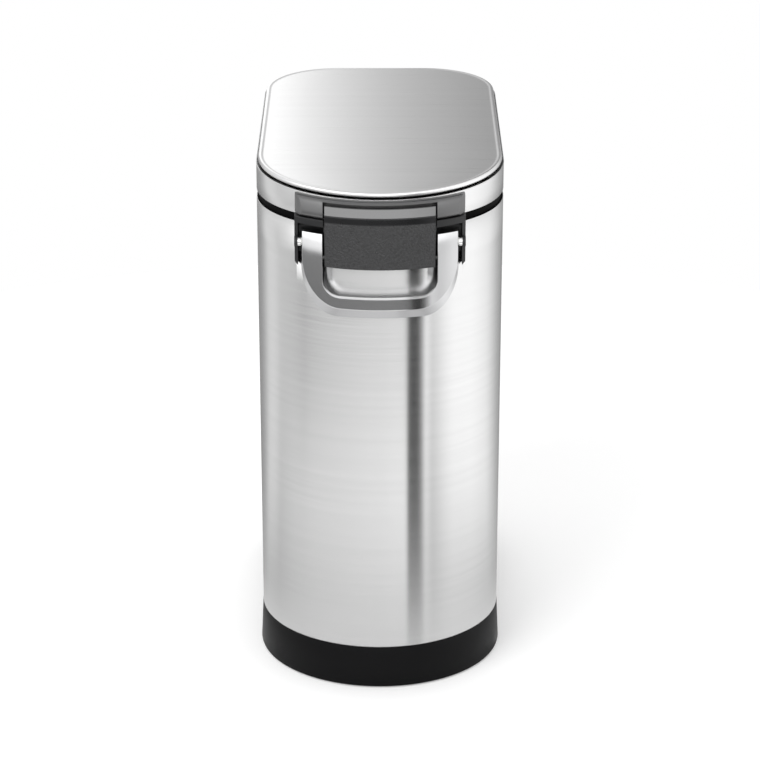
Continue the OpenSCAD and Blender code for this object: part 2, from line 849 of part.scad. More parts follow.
// A bent steel strip behind the plate; its nose lies just in front of the catch
module latch_hook() {
  in = latch_r - latch_t - sit_c;
  nose = catch_r + loose_c;
  color("silver") intersection() {
    turned() polygon([
      [in, latch_top - hook_low], [in, latch_top - hook_bend], [in - 3.3, latch_top - hook_top],
      [nose, latch_top - hook_nose[0]], [nose, latch_top - hook_nose[1]],
      [in - 4, latch_top - hook_top - 3.2], [in - hook_t, latch_top - hook_bend - side_c],
      [in - hook_t, latch_top - hook_low]
    ]);
    front_box(latch_x - 2 * latch_t - side_c, 0, big);
  }
}

// A torsion spring on each latch pin: close turns of wire
module latch_springs() {
  steps = turn_steps * spring_turns;
  sides = 6;
  points = [for (i = [0:steps]) for (k = [0:sides - 1])
    let (a = 360 * i / turn_steps, b = 360 * k / sides, r = spring_r + wire_r * cos(b))
      [spring_pitch * i / turn_steps + wire_r * sin(b), r * cos(a), r * sin(a)]];
  faces = concat(
    [[for (k = [0:sides - 1]) k]],
    [for (i = [0:steps - 1]) for (k = [0:sides - 1])
      let (n = (k + 1) % sides) [i * sides + k, (i + 1) * sides + k, (i + 1) * sides + n]],
    [for (i = [0:steps - 1]) for (k = [0:sides - 1])
      let (n = (k + 1) % sides) [i * sides + k, (i + 1) * sides + n, i * sides + n]],
    [[for (k = [sides - 1:-1:0]) steps * sides + k]]
  );
  color("gainsboro") for (side = [0, 1]) mirror([side, 0, 0])
    translate([spring_x, link_y, link_z]) polyhedron(points, faces);
}

// ---- all pieces, with the origin under the middle of the part ----

translate([0, -mid_y, 0]) {
  body_shell();
  base_ring();
  bottom_plate();
  rubber_feet();
  base_screws();
  top_rim();
  inner_bucket();
  latch_bracket();
  bracket_screws();
  handle_pins();
  hinge_bracket();
  hinge_pin();
  hinge_screws();
  hinge_nuts();
  lid_plate();
  lid_band();
  lid_tray();
  lid_gasket();
  catch_cover();
  catch_plate();
  catch_screws();
  lid_hinge_leaf();
  lid_hinge_screws();
  bail_handle();
  handle_bushes();
  link_pins();
  latch_plate();
  latch_hook();
  latch_springs();
}
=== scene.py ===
"""A tall storage bin in brushed steel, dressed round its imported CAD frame. Metres, +Z up, front towards -Y.

The sections follow the bin as it is put together: studio, wall, base, rim and bucket, latch bracket,
hinge, lid, catch, handle and latch plate.
"""

import bmesh
import bpy
import numpy as np
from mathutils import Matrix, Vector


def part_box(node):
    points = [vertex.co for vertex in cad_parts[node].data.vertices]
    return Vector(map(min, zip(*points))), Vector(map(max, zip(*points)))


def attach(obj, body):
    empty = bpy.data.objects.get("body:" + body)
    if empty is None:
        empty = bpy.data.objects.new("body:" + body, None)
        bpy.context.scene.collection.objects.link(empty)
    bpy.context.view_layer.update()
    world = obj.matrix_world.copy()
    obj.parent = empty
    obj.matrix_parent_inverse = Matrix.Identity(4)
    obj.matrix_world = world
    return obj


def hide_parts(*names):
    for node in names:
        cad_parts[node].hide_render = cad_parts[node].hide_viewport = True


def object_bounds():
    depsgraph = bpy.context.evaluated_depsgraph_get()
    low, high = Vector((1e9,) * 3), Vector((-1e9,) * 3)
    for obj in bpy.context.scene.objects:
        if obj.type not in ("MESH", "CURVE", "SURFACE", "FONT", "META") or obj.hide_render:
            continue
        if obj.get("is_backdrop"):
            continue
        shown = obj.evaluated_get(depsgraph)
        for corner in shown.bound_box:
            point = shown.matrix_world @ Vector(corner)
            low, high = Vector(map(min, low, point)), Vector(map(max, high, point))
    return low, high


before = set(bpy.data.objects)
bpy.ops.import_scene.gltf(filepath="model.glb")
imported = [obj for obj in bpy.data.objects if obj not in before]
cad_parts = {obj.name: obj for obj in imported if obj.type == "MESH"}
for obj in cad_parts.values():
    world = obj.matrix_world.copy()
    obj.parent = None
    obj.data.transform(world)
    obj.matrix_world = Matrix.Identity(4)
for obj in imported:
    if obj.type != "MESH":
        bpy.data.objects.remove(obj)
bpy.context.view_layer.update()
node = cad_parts

# ---- Studio ----
# A long lens looks down on the bin from the front. The floor and the backdrop are white, and soft lamps
# stand to the left and overhead. A light tent, which only mirror rays see, gives the metal its
# reflections: two tall panels with a dark gap between them, a grey sweep below and a band of light above.
camera = bpy.data.objects.new("camera", bpy.data.cameras.new("camera"))
bpy.context.collection.objects.link(camera)
bpy.context.scene.camera = camera
camera.data.sensor_width = 36
camera.data.lens = 124.12
camera.location = (0, -2.7454, 1.31112)
camera.rotation_euler = (np.radians(69.257), 0, 0)
bpy.context.scene.view_settings.view_transform = "Standard"


def bare_material(name):
    """A material with an empty node tree and its output."""
    material = bpy.data.materials.new(name)
    material.use_nodes = True
    material.node_tree.nodes.clear()
    return material, material.node_tree, material.node_tree.nodes.new("ShaderNodeOutputMaterial")


def staged(name, points, faces, material):
    """A studio surface, which isn't part of the bin."""
    mesh = bpy.data.meshes.new(name)
    mesh.from_pydata(points, [], faces)
    mesh.materials.append(material)
    piece = bpy.data.objects.new(name, mesh)
    bpy.context.collection.objects.link(piece)
    piece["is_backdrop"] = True
    return piece


floor_paint, tree, out = bare_material("floor_paint")
paint = tree.nodes.new("ShaderNodeBsdfDiffuse")
paint.inputs["Color"].default_value = (0.8, 0.8, 0.8, 1)
glow = tree.nodes.new("ShaderNodeEmission")
path = tree.nodes.new("ShaderNodeLightPath")
strength = tree.nodes.new("ShaderNodeMath")
strength.operation = "MULTIPLY"
strength.inputs[1].default_value = 0.3
both = tree.nodes.new("ShaderNodeAddShader")
tree.links.new(path.outputs["Is Camera Ray"], strength.inputs[0])
tree.links.new(strength.outputs[0], glow.inputs["Strength"])
tree.links.new(paint.outputs[0], both.inputs[0])
tree.links.new(glow.outputs[0], both.inputs[1])
tree.links.new(both.outputs[0], out.inputs["Surface"])
floor_r = 1.25
turn = np.radians(np.arange(0, 360, 3))
rim_points = np.column_stack((floor_r * np.cos(turn), floor_r * np.sin(turn), np.zeros(len(turn))))
staged("floor", rim_points.tolist(), [list(range(len(turn)))], floor_paint)


def mirrored_card(name, points, faces, brightness):
    """A surface that only mirror rays see, with its own brightness at each point."""
    material, tree, out = bare_material(name)
    light = tree.nodes.new("ShaderNodeEmission")
    bright = tree.nodes.new("ShaderNodeAttribute")
    bright.attribute_name = "brightness"
    tree.links.new(bright.outputs["Fac"], light.inputs["Strength"])
    tree.links.new(light.outputs[0], out.inputs["Surface"])
    piece = staged(name, points, faces, material)
    layer = piece.data.attributes.new("brightness", "FLOAT", "POINT")
    layer.data.foreach_set("value", np.asarray(brightness, dtype=np.float32).ravel())
    piece.visible_camera = piece.visible_diffuse = piece.visible_shadow = False
    return piece


def grid_faces(rows, columns):
    """Quads between neighbours on a grid of points, row by row."""
    index = np.arange(rows * columns).reshape(rows, columns)
    quads = np.stack((index[:-1, :-1], index[1:, :-1], index[1:, 1:], index[:-1, 1:]), axis=-1)
    return quads.reshape(-1, 4).tolist()


# The tent: a floor sweep out to tent_r and an upright wall above it. It is centred halfway between the
# round front and its axis, where the front mirrors it without distortion. Azimuth 0 is the front and
# 90 the right. Its levels are pairs of azimuth and brightness: grey behind, a tall panel from the left
# to just right of the front, the dark gap, and the second panel on the right.
tent_y, tent_r = -0.155, 1.2
azimuth = np.arange(-180, 181, 1)
sweep_r = np.array([0.14, 0.2, 0.3, 0.45, 0.6, 0.75, 0.9, 1.0, 1.1])
wall_z = np.array([0, 0.1, 0.2, 0.3, 0.4, 0.55, 0.7, 0.8, 0.9, 1.1, 1.3, 1.5, 1.7, 1.9, 2.1])
levels = [
    (-180, 0.3), (-150, 0.33), (-137, 0.5), (-126, 0.86), (-116, 0.85), (-106, 0.75), (-85, 1.05),
    (-70, 1.22), (-20, 1.48), (4, 1.6), (25, 1.72), (27, 0), (36, 0), (40, 0.35), (43, 1.2), (50, 0.82),
    (57, 1), (63, 1.15), (72, 1.3), (95, 1.3), (118, 1.1), (128, 0.85), (140, 0.56), (160, 0.3),
]
panels = np.interp(azimuth, *np.array(levels).T)
dark_front = np.interp(azimuth, (-110, -75, 30, 36), (0, 1, 1, 0))
overhead = np.interp(azimuth, (-180, -100, -75, 40, 60, 180), (0.6, 1.0, 2.1, 2.1, 1.5, 0.6))

# The sweep is plain near the bin and takes up the panels further out. In front it is dim where it meets
# the upright wall, which carries the panels up to the bright band overhead.
near = np.interp(sweep_r, (0.14, 0.35, 0.6), (1, 0.8, 0))[:, None]
near_level = np.interp(sweep_r, (0.2, 0.3), (0.8, 0.5))[:, None]
far = np.interp(sweep_r, (0.85, 1.0), (0, 1))[:, None] * dark_front
dim = np.minimum(panels, 0.2)
sweep = near_level * near + panels * (1 - near)
sweep = sweep * (1 - far) + dim * far
low = np.interp(wall_z, (0.15, 0.45), (1, 0))[:, None] * dark_front
top = np.interp(wall_z, (0.75, 1.0), (0, 1))[:, None]
upright = panels * (1 - low) + dim * low
upright = upright * (1 - top) + overhead * top
radius = np.concatenate((sweep_r, np.full(len(wall_z), tent_r)))[:, None]
height = np.concatenate((np.full(len(sweep_r), 0.001), wall_z + 0.001))[:, None]
side = np.radians(azimuth)[None]
tent = np.stack(np.broadcast_arrays(radius * np.sin(side), tent_y - radius * np.cos(side), height), -1)
brightness = np.concatenate((sweep, upright))
mirrored_card("light_tent", tent.reshape(-1, 3).tolist(), grid_faces(*tent.shape[:2]), brightness)

# A card behind the bin, for the lid: bright on the left, falling off to grey on the right.
card_x = np.linspace(-0.9, 0.9, 61)
card_y, card_z = np.array([0.96, 0.80]), np.array([0.45, 1.9])
card = np.stack(np.broadcast_arrays(card_x[None], card_y[:, None], card_z[:, None]), -1)
fall = np.minimum(0.255 + 0.375 * np.exp(-card_x / 0.15), 1.35)
mirrored_card("lid_card", card.reshape(-1, 3).tolist(), grid_faces(2, len(card_x)), np.tile(fall, 2))

world = bpy.data.worlds.new("studio")
bpy.context.scene.world = world
world.use_nodes = True
tree = world.node_tree
tree.nodes.clear()
world_out = tree.nodes.new("ShaderNodeOutputWorld")
backdrop = tree.nodes.new("ShaderNodeBackground")
room = tree.nodes.new("ShaderNodeBackground")
backdrop.inputs["Color"].default_value = (1, 1, 1, 1)
room.inputs["Color"].default_value = (0.7, 0.7, 0.7, 1)
path = tree.nodes.new("ShaderNodeLightPath")
choose = tree.nodes.new("ShaderNodeMixShader")
tree.links.new(path.outputs["Is Camera Ray"], choose.inputs["Fac"])
tree.links.new(room.outputs[0], choose.inputs[1])
tree.links.new(backdrop.outputs[0], choose.inputs[2])
tree.links.new(choose.outputs[0], world_out.inputs["Surface"])


def softbox(name, place, aim, width, power):
    """A square lamp of that width, turned towards the point aim, that mirror rays don't see."""
    lamp = bpy.data.objects.new(name, bpy.data.lights.new(name, "AREA"))
    lamp.data.size = width
    lamp.data.energy = power
    lamp.location = place
    away = np.array(place) - np.array(aim)
    across = np.hypot(away[0], away[1])
    lamp.rotation_euler = (np.arctan2(across, away[2]), 0, np.arctan2(away[0], -away[1]))
    lamp.visible_glossy = False
    bpy.context.collection.objects.link(lamp)


softbox("lamp_left", (-1.0, -1.3, 2.3), (0, 0, 0.1), 1.2, 24)
softbox("lamp_top", (0.1, 0.6, 2.8), (0, 0.2, 0), 1.8, 16)

# ---- Wall ----
# One sheet of stainless steel, rolled to a D-shaped plan. It is brushed round the body, so it blurs what
# it mirrors up and down but hardly sideways. Two notches in front let the latch bracket's pockets through.
wall_low, wall_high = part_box("body_shell")
front_r = (wall_high.x - wall_low.x) / 2
axis_y = wall_low.y + front_r
back_y = wall_high.y
back_r = 0.080
corner_x, corner_y = front_r - back_r, back_y - back_r
sheet_t = 0.0008
notch_x = (0.0557, 0.0856)
notch_z = 0.4788


def plan(front_x=()):
    """Points round the D-shaped plan at the wall's face, anticlockwise from above, with their normals.

    A half circle in front about the body's axis, straight sides, a quarter circle at each back corner
    and a straight back. The half circle also gets a point at each x and -x in front_x.
    """
    angles = np.linspace(180, 360, 193)
    marks = np.degrees(np.arcsin(np.array(front_x) / front_r))
    angles = np.unique(np.round(np.concatenate((angles, 270 + marks, 270 - marks)), 6))
    corner = np.linspace(0, 90, 41)

    def arc(x, y, r, degrees):
        turn = np.radians(degrees)
        normal = np.column_stack((np.cos(turn), np.sin(turn)))
        return (x, y) + r * normal, normal

    def side(x, low, high):
        run = np.linspace(low, high, 14)[1:-1]
        return np.column_stack((np.full(len(run), x), run)), np.tile((np.sign(x), 0.0), (len(run), 1))

    back_run = np.linspace(corner_x, -corner_x, 12)[1:-1]
    back_line = np.column_stack((back_run, np.full(len(back_run), back_y)))
    stretches = [
        arc(0, axis_y, front_r, angles),
        side(front_r, axis_y, corner_y),
        arc(corner_x, corner_y, back_r, corner),
        (back_line, np.tile((0.0, 1.0), (len(back_run), 1))),
        arc(-corner_x, corner_y, back_r, corner + 90),
        side(-front_r, corner_y, axis_y),
    ]
    return np.vstack([s[0] for s in stretches]), np.vstack([s[1] for s in stretches])


def carried(profile, front_x=()):
    """A profile of (distance outside the wall's face, height) at every point of the plan.

    The grid's first direction goes round the plan and its second along the profile.
    """
    profile = np.array(profile)
    points, normals = plan(front_x)
    place = points[:, None] + normals[:, None] * profile[None, :, :1]
    height = np.broadcast_to(profile[None, :, 1:], (*place.shape[:2], 1))
    return np.concatenate((place, height), axis=2)


def surface(name, grid, round_u=False, round_v=False, ends=False, capped=False, keep=None, sharp=32):
    """A mesh piece on a grid of points, whose faces point to where direction u crossed with v points.

    round_u and round_v join the last row to the first, ends closes a tube at its two ends, capped fills
    the ring of the last column, keep is a mask of the quads that stay, and creases over "sharp" degrees
    show as edges.
    """
    index = np.arange(grid.shape[0] * grid.shape[1]).reshape(grid.shape[:2])
    index = np.vstack((index, index[:1])) if round_u else index
    index = np.column_stack((index, index[:, 0])) if round_v else index
    quads = np.stack((index[:-1, :-1], index[1:, :-1], index[1:, 1:], index[:-1, 1:]), axis=-1)
    quads = quads[keep] if keep is not None else quads.reshape(-1, 4)
    faces = quads.tolist()
    if ends:
        across = grid.shape[1]
        faces += [index[0, :across].tolist(), index[-1, :across][::-1].tolist()]
    if capped:
        faces.append(index[: grid.shape[0], -1].tolist())
    mesh = bpy.data.meshes.new(name)
    mesh.from_pydata(grid.reshape(-1, 3).tolist(), [], faces)
    mesh.shade_smooth()
    mesh.set_sharp_from_angle(angle=np.radians(sharp))
    piece = bpy.data.objects.new(name, mesh)
    bpy.context.collection.objects.link(piece)
    return piece


def thickened(piece, thickness):
    """Gives a sheet its thickness, on the inner side."""
    solid = piece.modifiers.new("sheet", "SOLIDIFY")
    solid.thickness = thickness
    solid.offset = -1
    solid.use_even_offset = True
    return piece


def new_finish(name, colour, metallic, roughness):
    """A material with its node tree, its Principled shader and its object coordinates."""
    material = bpy.data.materials.new(name)
    material.use_nodes = True
    tree = material.node_tree
    shader = tree.nodes["Principled BSDF"]
    shader.inputs["Base Color"].default_value = (*colour, 1)
    shader.inputs["Metallic"].default_value = metallic
    shader.inputs["Roughness"].default_value = roughness
    place = tree.nodes.new("ShaderNodeTexCoord").outputs["Object"]
    return material, tree, shader, place


def grain(tree, place, scale, detail):
    """Noise stretched by a scale along each axis, in features per metre."""
    stretch = tree.nodes.new("ShaderNodeMapping")
    stretch.inputs["Scale"].default_value = scale
    noise = tree.nodes.new("ShaderNodeTexNoise")
    noise.inputs["Scale"].default_value = 1
    noise.inputs["Detail"].default_value = detail
    noise.inputs["Roughness"].default_value = 0.65
    tree.links.new(place, stretch.inputs["Vector"])
    tree.links.new(stretch.outputs[0], noise.inputs["Vector"])
    return noise.outputs["Fac"]


def spread(tree, value, low, high):
    """Maps the middle of a noise to a range of values."""
    span = tree.nodes.new("ShaderNodeMapRange")
    span.inputs["From Min"].default_value = 0.3
    span.inputs["From Max"].default_value = 0.7
    span.inputs["To Min"].default_value = low
    span.inputs["To Max"].default_value = high
    tree.links.new(value, span.inputs["Value"])
    return span.outputs["Result"]


def bumped(tree, shader, value, distance):
    """Raises the surface by a height value, in metres."""
    bump = tree.nodes.new("ShaderNodeBump")
    bump.inputs["Distance"].default_value = distance
    tree.links.new(value, bump.inputs["Height"])
    tree.links.new(bump.outputs[0], shader.inputs["Normal"])


def shaded(tree, shader, value, dark, light):
    """Runs the base colour from dark to light along a value."""
    mix = tree.nodes.new("ShaderNodeMix")
    mix.data_type = "RGBA"
    mix.inputs["A"].default_value = (*dark, 1)
    mix.inputs["B"].default_value = (*light, 1)
    tree.links.new(value, mix.inputs["Factor"])
    tree.links.new(mix.outputs["Result"], shader.inputs["Base Color"])


def brushed_steel(name, grey, roughness, aniso, lines):
    """Stainless steel brushed in lines; their direction is the axis with the smallest number in lines.

    Fine lines change the roughness, the tone and the height. The blur is drawn out along the object's
    own Z axis, across the lines.
    """
    material, tree, shader, place = new_finish(name, (grey,) * 3, 1, roughness)
    fine = grain(tree, place, lines, 5)
    broad = grain(tree, place, tuple(s * 0.12 for s in lines), 2)
    tree.links.new(spread(tree, fine, roughness - 0.03, roughness + 0.03), shader.inputs["Roughness"])
    shaded(tree, shader, spread(tree, broad, 0, 1), (grey - 0.012,) * 3, (grey + 0.012,) * 3)
    bumped(tree, shader, fine, 0.000002)
    shader.inputs["Anisotropic"].default_value = aniso
    up = tree.nodes.new("ShaderNodeCombineXYZ")
    up.inputs["Z"].default_value = 1
    turned = tree.nodes.new("ShaderNodeVectorTransform")
    turned.vector_type = "VECTOR"
    turned.convert_from, turned.convert_to = "OBJECT", "WORLD"
    tree.links.new(up.outputs[0], turned.inputs[0])
    tree.links.new(turned.outputs[0], shader.inputs["Tangent"])
    return material


def dressed(piece, material, body, slot, *nodes):
    """Puts a finish on a new piece, which stands for those CAD nodes and rides on a body."""
    piece.data.materials.append(material)
    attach(piece, body)
    if nodes:
        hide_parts(*nodes)
    return piece


def refinished(material, *names):
    """Gives CAD nodes whose shape is right a better finish."""
    for name in names:
        data = node[name].data
        data.materials.clear()
        data.materials.append(material)


wall_steel = brushed_steel("brushed_wall", 0.74, 0.23, 1.0, (5, 5, 900))
heights = np.array([wall_low.z, wall_low.z + 0.001, *np.linspace(0.1, 0.45, 8), notch_z, wall_high.z])
wall_grid = carried(np.column_stack((np.zeros(len(heights)), heights)), notch_x)
middle = (wall_grid[:, 0] + np.roll(wall_grid[:, 0], -1, axis=0)) / 2
in_notch = (abs(middle[:, 0]) > notch_x[0]) & (abs(middle[:, 0]) < notch_x[1]) & (middle[:, 1] < axis_y)
stays = np.ones((len(wall_grid), len(heights) - 1), bool)
stays[in_notch, -1] = False
wall = thickened(surface("steel_wall", wall_grid, round_u=True, keep=stays), sheet_t)
dressed(wall, wall_steel, "root", "body_steel", "body_shell")

# ---- Base ----
# A moulded black ring that spreads a little towards the floor, a plate screwed in from below and four
# rubber feet. The ring's face is matte with a fine spark-eroded skin.
base_low, base_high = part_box("base_ring")
base_top = wall_low.z
flare = base_high.x - front_r


def moulded(name, colour, roughness, pore, depth, gloss=0.5, ior=1.5):
    """Moulded plastic: a pored skin with pores of that size and depth, and slow changes of gloss."""
    material, tree, shader, place = new_finish(name, colour, 0, roughness)
    pores = grain(tree, place, (1 / pore,) * 3, 3)
    clouds = grain(tree, place, (18, 18, 18), 3)
    tree.links.new(spread(tree, clouds, roughness - 0.05, roughness + 0.06), shader.inputs["Roughness"])
    dark, light = tuple(c * 0.8 for c in colour), tuple(c * 1.2 for c in colour)
    shaded(tree, shader, spread(tree, pores, 0, 1), dark, light)
    bumped(tree, shader, pores, depth)
    shader.inputs["Specular IOR Level"].default_value = gloss
    shader.inputs["IOR"].default_value = ior
    return material


black_matte = moulded("black_matte", (0.004, 0.004, 0.0045), 0.42, 0.0006, 0.00006, 0.13)
base_profile = [
    (flare - 0.0016, base_low.z), (flare - 0.0004, base_low.z + 0.0006), (flare, base_low.z + 0.002),
    (0.0003, base_top - 0.0012), (-0.0002, base_top - 0.0002), (-0.0009, base_top),
    (-0.0009, base_high.z), (-0.0035, base_high.z), (-0.0035, 0.009), (-0.014, 0.009), (-0.014, 0.006),
    (-0.003, 0.006), (-0.003, base_low.z),
]
ring = surface("base_ring_moulding", carried(base_profile), round_u=True, round_v=True)
dressed(ring, black_matte, "root", "base_plastic", "base_ring")
foot_rubber = moulded("foot_rubber", (0.02, 0.02, 0.02), 0.7, 0.0004, 0.00005)
refinished(black_matte, "bottom_plate")
refinished(foot_rubber, "rubber_feet")

# ---- Rim and bucket ----
# A black moulded rim sits in the wall's top edge, and a grey plastic bucket hangs in it by its flange.
# The rim is nearly matte, and the bucket has the plain smooth skin of a polished mould.
rim_black = moulded("rim_black", (0.002, 0.002, 0.0022), 0.6, 0.0005, 0.00003, 0.04)
bucket_grey = moulded("bucket_grey", (0.16, 0.16, 0.165), 0.38, 0.0009, 0.00002)
refinished(rim_black, "top_rim")
refinished(bucket_grey, "inner_bucket")

# ---- Latch bracket ----
# A glossy black moulding on the front carries the handle between two ears. Bright stub pins go through
# the ears into the handle's ends.
bracket_black = moulded("bracket_black", (0.012, 0.012, 0.013), 0.4, 0.0007, 0.00001, 0.45)
plain_steel = brushed_steel("plain_steel", 0.55, 0.38, 0.0, (60, 60, 60))
pin_steel = brushed_steel("bright_pin", 0.85, 0.15, 0.0, (300, 300, 300))
# The link pins get a near-black steel as painted shade, for the shade between the handle's arms and the latch
# plate.
shade_dark_steel = brushed_steel("pin_painted_shade", 0.08, 0.4, 0.0, (300, 300, 300))
screw_steel = brushed_steel("screw_zinc", 0.6, 0.3, 0.0, (400, 400, 400))
refinished(bracket_black, "latch_bracket")
refinished(screw_steel, "bracket_screws", "base_screws", "hinge_screws")
refinished(screw_steel, "hinge_nuts", "catch_screws", "lid_hinge_screws")
refinished(pin_steel, "handle_pins", "hinge_pin", "latch_springs")
# Painted shade: the link pins are darkened to match the shade they sit in.
refinished(shade_dark_steel, "link_pins")

# ---- Hinge ----
# A steel bracket on the back with two knuckles, and a pin that the lid's leaf turns on. The catch plate
# and the latch's hook are cut and bent from the same plain sheet.
refinished(plain_steel, "hinge_bracket", "lid_hinge_leaf", "catch_plate", "latch_hook")

# ---- Lid ----
# A band of the wall's steel with its top edge folded in, and a flat top plate with a rolled edge that
# stands on the fold. The liner below it is black plastic, with a grey gasket in its groove.
band_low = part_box("lid_band")[0]
lid_steel = brushed_steel("brushed_lid_band", 0.74, 0.23, 1.0, (5, 5, 900))
plate_steel = brushed_steel("satin_lid_top", 0.80, 0.30, 0.0, (3, 600, 60))
band_front = 0.547
lid_slope = np.radians(2.8754)
fold_r, fold_w, fold_drop = 0.0002, 0.005, 0.001
front_y = axis_y - front_r


def sloped(grid, height_of_top):
    """Raises a grid's points in proportion to their height, so that the top follows the lid's slope."""
    share = (grid[..., 2] - band_low.z) / (height_of_top - band_low.z)
    grid[..., 2] += share * (grid[..., 1] - front_y) * np.tan(lid_slope)
    return grid


turn = np.radians(np.linspace(0, 90, 7))
band_profile = [(-0.0004, band_low.z), (0, band_low.z + 0.0004), (0, band_low.z + 0.012)]
band_profile += [(-fold_r + fold_r * np.cos(a), band_front - fold_r + fold_r * np.sin(a)) for a in turn]
band_profile += [(-fold_drop, band_front - 0.9 * fold_drop), (-fold_w, band_front - fold_drop)]
band = surface("lid_band_sheet", sloped(carried(band_profile), band_front), round_u=True, sharp=50)
dressed(thickened(band, sheet_t), lid_steel, "lid", "lid_steel", "lid_band")

plate_inset, plate_h, plate_lift = 0.0019, 0.0059, 0.001
roll_r = plate_h / 2
roll = np.radians(np.linspace(-150, 90, 25))
roll_d = -plate_inset - roll_r
plate_profile = [(roll_d - roll_r - 0.0012, 0.0012)]
plate_profile += [(roll_d + roll_r * np.cos(a), roll_r + roll_r * np.sin(a)) for a in roll]
plate_profile += [(roll_d - 0.0012, plate_h - 0.0002), (roll_d - 0.0022, plate_h - 0.0006),
                  (roll_d - 0.0032, plate_h - 0.0006), (roll_d - 0.0060, plate_h - 0.0005),
                  (roll_d - 0.0200, plate_h - 0.0002), (-0.045, plate_h)]
plate_grid = carried(plate_profile)
centre = np.array([[[0, (axis_y + corner_y) / 2, plate_h]]])
drawn_in = 0.02
inner = plate_grid[:, -1:] * (1 - drawn_in) + centre * drawn_in
inner[..., 2] = plate_h
plate_grid = np.concatenate((plate_grid, inner), axis=1)


def tilted(grid):
    """Turns a flat grid by the lid's slope about the front of its seat on the band."""
    flat_y = grid[..., 1] - front_y
    flat_z = grid[..., 2].copy()
    grid[..., 1] = front_y + flat_y * np.cos(lid_slope) - flat_z * np.sin(lid_slope)
    grid[..., 2] = band_front + plate_lift + flat_y * np.sin(lid_slope) + flat_z * np.cos(lid_slope)
    return grid


plate = surface("lid_top_plate", tilted(plate_grid), round_u=True, capped=True, sharp=180)
dressed(thickened(plate, sheet_t), plate_steel, "lid", "lid_steel", "lid_plate")
gasket_rubber = moulded("gasket_silicone", (0.12, 0.12, 0.12), 0.6, 0.0006, 0.00002)
liner_black = moulded("liner_black", (0.018, 0.018, 0.019), 0.5, 0.0011, 0.00008)
refinished(liner_black, "lid_tray")
refinished(gasket_rubber, "lid_gasket")

# ---- Catch ----
# A black moulded cover on the lid's front, with a recess for the latch plate and a steel catch in it.
# It is glossier than the bracket below it, and its ends are cut off at a slant.
cover_low, cover_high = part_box("catch_cover")
notch_half, notch_top = 0.058, 0.5430
cover_profile = np.array([
    (0.0001, cover_low.z), (0.0056, cover_low.z), (0.0070, cover_low.z + 0.0006),
    (0.0081, cover_low.z + 0.0018), (0.0087, cover_low.z + 0.0032), (0.0090, cover_low.z + 0.0046),
    (0.0087, cover_low.z + 0.0075), (0.0080, cover_low.z + 0.0112), (0.0069, cover_low.z + 0.0148),
    (0.0056, notch_top), (0.0033, cover_high.z - 0.0020), (0.0026, cover_high.z - 0.0018),
    (0.0012, cover_high.z - 0.0030), (0.0010, cover_high.z - 0.0002), (0.0007, cover_high.z),
    (0.0001, notch_top - 0.0004),
])
cover_profile[:, 0] += front_r


def on_front(x, radius, height):
    """Points on the round front at that x and at that distance from the body's axis."""
    return np.stack((x, axis_y - np.sqrt(radius**2 - x**2), height), axis=-1)


def slanted_end(radius):
    """Half-width at which the cover's slanted end plane meets a circle of that radius round the body's axis.

    In plan the plane starts at (x0, y0) and goes on by (-run, rise). It meets the circle where a
    quadratic in its length is zero.
    """
    run, rise = 0.021, -0.049
    x0, y0 = 0.0872, -front_r * 0.74
    a = run**2 + rise**2
    b = 2 * (x0 * -run + y0 * rise)
    c = x0**2 + y0**2 - radius**2
    return x0 - run * (-b + np.sqrt(b**2 - 4 * a * c)) / (2 * a)


ends = slanted_end(cover_profile[:, 0])
share = np.linspace(0, 1, 9)
side_x = notch_half + share[:, None] * (ends - notch_half)[None]
middle_x = np.broadcast_to(np.linspace(-notch_half, notch_half, 41)[:, None], (41, len(cover_profile)))

# Behind the latch plate's recess only a thin skin of the cover is left, up to the recess's top.
skin_t = 0.0006
recessed = cover_profile.copy()
recessed[1:3, 0] = cover_profile[0, 0] + skin_t
recessed[2:9, 1] = notch_top
recessed[3:9, 0] = recessed[9, 0]
cover_grid = np.concatenate((
    on_front(-side_x[::-1], cover_profile[:, 0], np.broadcast_to(cover_profile[:, 1], side_x.shape)),
    on_front(middle_x, recessed[:, 0], np.broadcast_to(recessed[:, 1], middle_x.shape)),
    on_front(side_x, cover_profile[:, 0], np.broadcast_to(cover_profile[:, 1], side_x.shape)),
))
cover = surface("catch_cover_moulding", cover_grid, round_v=True, ends=True)


def welded(piece, sharp=32):
    """Merges doubled points, which also drops faces without area, and turns all faces outwards."""
    work = bmesh.new()
    work.from_mesh(piece.data)
    bmesh.ops.remove_doubles(work, verts=work.verts, dist=1e-6)
    bmesh.ops.recalc_face_normals(work, faces=work.faces)
    work.to_mesh(piece.data)
    work.free()
    piece.data.set_sharp_from_angle(angle=np.radians(sharp))
    return piece


def eased(piece, width, segments=2, angle=40):
    """Rounds a piece's edges a little, as a mould or a tumbler leaves them."""
    bevel = piece.modifiers.new("eased", "BEVEL")
    bevel.width = width
    bevel.segments = segments
    bevel.limit_method = "ANGLE"
    bevel.angle_limit = np.radians(angle)
    bevel.harden_normals = True
    return piece


cover_black = moulded("cover_black", (0.02, 0.02, 0.021), 0.42, 0.0009, 0.00002, 1.0, 1.75)
dressed(eased(welded(cover), 0.0003), cover_black, "lid", "bracket_plastic", "catch_cover")

# ---- Handle ----
# A cast aluminium bail with a satin finish. Its front is flat across, and a wide bevel runs round its
# outer edge. Nylon bushes in its ends turn on the stub pins.
bail_low, bail_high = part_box("bail_handle")
pivot_y, pivot_z = -0.20225, 0.499
bail_half = bail_high.x
bail_front_r = front_r + 0.0135
arm_t, grip_t, taper_h = 0.010, 0.0062, 0.035
bevel_depth = 0.005
end_r = 0.01763


